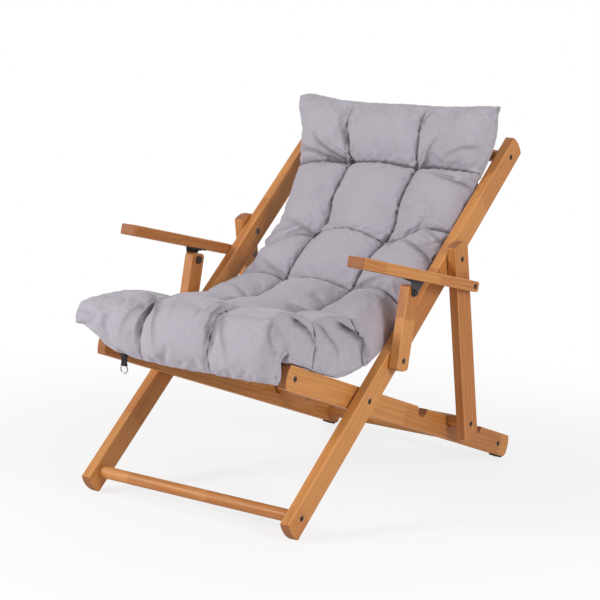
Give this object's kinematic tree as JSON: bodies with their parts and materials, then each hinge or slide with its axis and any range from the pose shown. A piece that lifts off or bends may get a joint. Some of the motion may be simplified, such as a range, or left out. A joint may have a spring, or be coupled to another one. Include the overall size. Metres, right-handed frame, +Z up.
{
  "type": "folding lounge armchair",
  "caption": "Folding timber lounge armchair with a tufted one-piece cushion on crossed side frames, a notched recline prop and linked armrests.",
  "frame": {"origin": "on the floor, at the middle of the chair's bounding box", "axes": "+X to the sitter's left, +Y to the rear, +Z up"},
  "size_m": [0.634, 0.934, 0.7999],
  "materials": {
    "oiled_timber": "honey-brown oiled beech, satin, with lighter arrises",
    "cushion_fabric": "light grey cotton cover over fibre fill, matt",
    "sling_canvas": "grey cotton canvas, matt",
    "strap_webbing": "black woven webbing",
    "glide_plastic": "dark moulded plastic, matt",
    "bright_steel": "zinc-plated",
    "black_steel": "black powder coat, satin",
    "fastener_steel": "burnished dark steel"
  },
  "bodies": {
    "seat_frame": {"seat_rail_left": "oiled_timber", "seat_rail_right": "oiled_timber", "seat_front_bar": "oiled_timber", "seat_rear_bar": "oiled_timber", "seat_front_bolts": "fastener_steel", "seat_rear_bolts": "fastener_steel", "rear_glides": "glide_plastic", "seat_sling": "sling_canvas", "seat_cushion": "cushion_fabric", "hanging_strap": "strap_webbing", "strap_ring": "bright_steel"},
    "back_frame": {"long_rail_left": "oiled_timber", "long_rail_right": "oiled_timber", "foot_bar": "oiled_timber", "top_bar": "oiled_timber", "foot_bar_bolts": "fastener_steel", "top_bar_bolts": "fastener_steel", "main_pivot_bolts": "fastener_steel", "main_pivot_nuts": "fastener_steel", "main_pivot_spacers": "bright_steel", "back_sling": "sling_canvas", "back_cushion": "cushion_fabric"},
    "prop_frame": {"prop_left": "oiled_timber", "prop_right": "oiled_timber", "prop_bar": "oiled_timber", "prop_bar_bolts": "fastener_steel", "prop_pivot_bolts": "fastener_steel", "prop_pivot_nuts": "fastener_steel", "prop_pivot_washers": "bright_steel"},
    "armrest_left": {"armrest_left": "oiled_timber", "arm_bracket_left": "black_steel", "bracket_screws_left": "fastener_steel", "arm_pivot_bolt_left": "fastener_steel", "arm_pivot_nut_left": "fastener_steel", "arm_pivot_washer_left": "bright_steel", "bracket_bolt_left": "fastener_steel", "bracket_nut_left": "fastener_steel"},
    "post_left": {"post_left": "oiled_timber", "post_pivot_bolt_left": "fastener_steel", "post_pivot_nut_left": "fastener_steel", "post_pivot_washer_left": "bright_steel"},
    "armrest_right": {"armrest_right": "oiled_timber", "arm_bracket_right": "black_steel", "bracket_screws_right": "fastener_steel", "arm_pivot_bolt_right": "fastener_steel", "arm_pivot_nut_right": "fastener_steel", "arm_pivot_washer_right": "bright_steel", "bracket_bolt_right": "fastener_steel", "bracket_nut_right": "fastener_steel"},
    "post_right": {"post_right": "oiled_timber", "post_pivot_bolt_right": "fastener_steel", "post_pivot_nut_right": "fastener_steel", "post_pivot_washer_right": "bright_steel"}
  },
  "joints": [
    {"name": "back_raise", "type": "hinge", "parent": "seat_frame", "child": "back_frame", "pos_m": [0, -0.14458, 0.23845], "axis": [1, 0, 0], "range_deg": [0, 55], "deforming": ["seat_cushion", "back_cushion", "seat_sling", "back_sling"]},
    {"name": "prop_swing", "type": "hinge", "parent": "back_frame", "child": "prop_frame", "pos_m": [0, 0.15088, 0.4991], "axis": [1, 0, 0], "range_deg": [-25, 0]},
    {"name": "armrest_left_tilt", "type": "hinge", "parent": "prop_frame", "child": "armrest_left", "pos_m": [0, 0.1736, 0.4406], "axis": [1, 0, 0], "range_deg": [0, 24]},
    {"name": "post_left_swing", "type": "hinge", "parent": "back_frame", "child": "post_left", "pos_m": [0, -0.06059, 0.31254], "axis": [1, 0, 0], "range_deg": [0, 12]},
    {"name": "armrest_right_tilt", "type": "hinge", "parent": "prop_frame", "child": "armrest_right", "pos_m": [0, 0.1736, 0.4406], "axis": [1, 0, 0], "range_deg": [0, 24]},
    {"name": "post_right_swing", "type": "hinge", "parent": "back_frame", "child": "post_right", "pos_m": [0, -0.06059, 0.31254], "axis": [1, 0, 0], "range_deg": [0, 12]}
  ],
  "couplings": [
    {"joint": "prop_swing", "follows": "back_raise", "ratio": -0.4},
    {"joint": "armrest_left_tilt", "follows": "back_raise", "ratio": 0.36},
    {"joint": "post_left_swing", "follows": "back_raise", "ratio": 0.168},
    {"joint": "armrest_right_tilt", "follows": "back_raise", "ratio": 0.36},
    {"joint": "post_right_swing", "follows": "back_raise", "ratio": 0.168}
  ]
}
